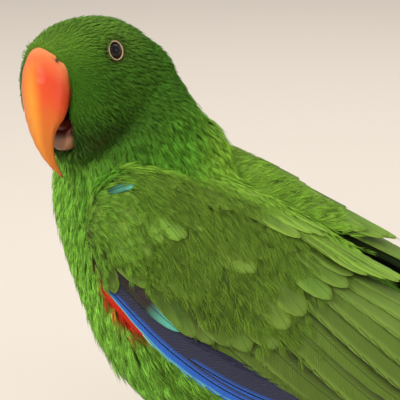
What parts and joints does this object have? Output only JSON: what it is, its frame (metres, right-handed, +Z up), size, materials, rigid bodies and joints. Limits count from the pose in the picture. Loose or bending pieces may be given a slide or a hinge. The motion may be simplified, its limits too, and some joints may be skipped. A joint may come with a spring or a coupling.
{
  "type": "eclectus parrot",
  "caption": "Life-size male eclectus parrot: green feathered body, hooked orange bill, folded wings with a blue leading edge, head turned to its left.",
  "frame": {"origin": "on the floor under the middle of the bounding box", "axes": "+X from the head to the tail, -Y to the bird's left, +Z up"},
  "size_m": [0.2806, 0.0898, 0.1779],
  "materials": {
    "green": "soft bright green body feathers",
    "wing_green": "olive green wing feathers, blue at the leading edge",
    "tail_green": "green tail feathers with a blue edge and a pale tip",
    "bill_orange": "semi-gloss orange horn, yellow towards the tip",
    "bill_black": "dark horn",
    "tongue": "soft, moist",
    "eye": "wet, glossy",
    "foot_grey": "dry grey scales",
    "claw": "dark horn"
  },
  "bodies": {
    "root": {"claw_left_back_inner": "claw", "claw_left_back_outer": "claw", "claw_left_front_inner": "claw", "claw_left_front_outer": "claw", "claw_right_back_inner": "claw", "claw_right_back_outer": "claw", "claw_right_front_inner": "claw", "claw_right_front_outer": "claw", "eye_left": "eye", "eye_right": "eye", "foot_left": "foot_grey", "foot_right": "foot_grey", "head": "green", "lower_mandible": "bill_black", "neck": "green", "shank_left": "foot_grey", "shank_right": "foot_grey", "tail": "tail_green", "thigh_left": "green", "thigh_right": "green", "tongue": "tongue", "torso": "green", "upper_mandible": "bill_orange", "wing_left": "wing_green", "wing_right": "wing_green"}
  },
  "joints": []
}
